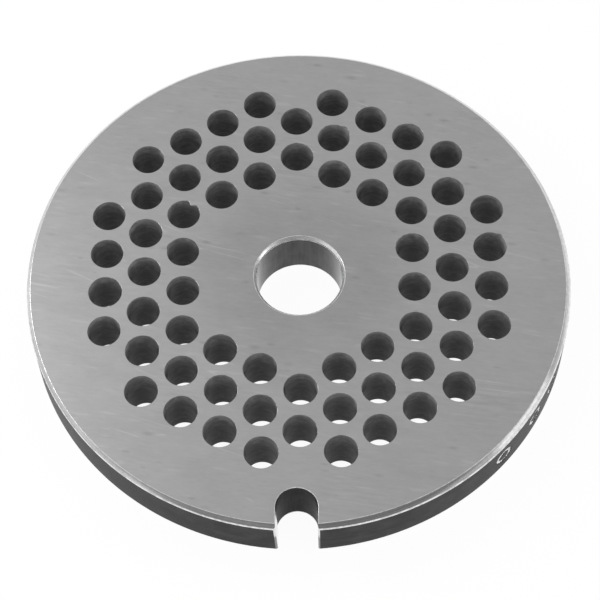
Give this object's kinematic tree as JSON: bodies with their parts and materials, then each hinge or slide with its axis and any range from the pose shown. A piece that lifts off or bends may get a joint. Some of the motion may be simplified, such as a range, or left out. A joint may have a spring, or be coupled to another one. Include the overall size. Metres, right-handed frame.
{
  "type": "meat grinder plate",
  "caption": "Round flat steel plate for a meat grinder, with a ring of feed holes on a triangular grid, a central stud bore and a round-ended key notch in the rim.",
  "frame": {"origin": "on the bore's axis at the back face, which the plate lies on", "axes": "+Z along the bore, towards the cutting face; -Y through the middle of the key notch"},
  "size_m": [0.07, 0.0699, 0.0077],
  "materials": {
    "ground_steel": "ground flat faces with fine parallel grinding marks, turned rim, drilled holes left sharp"
  },
  "bodies": {
    "root": {"grinder_plate": "ground_steel"}
  },
  "joints": []
}
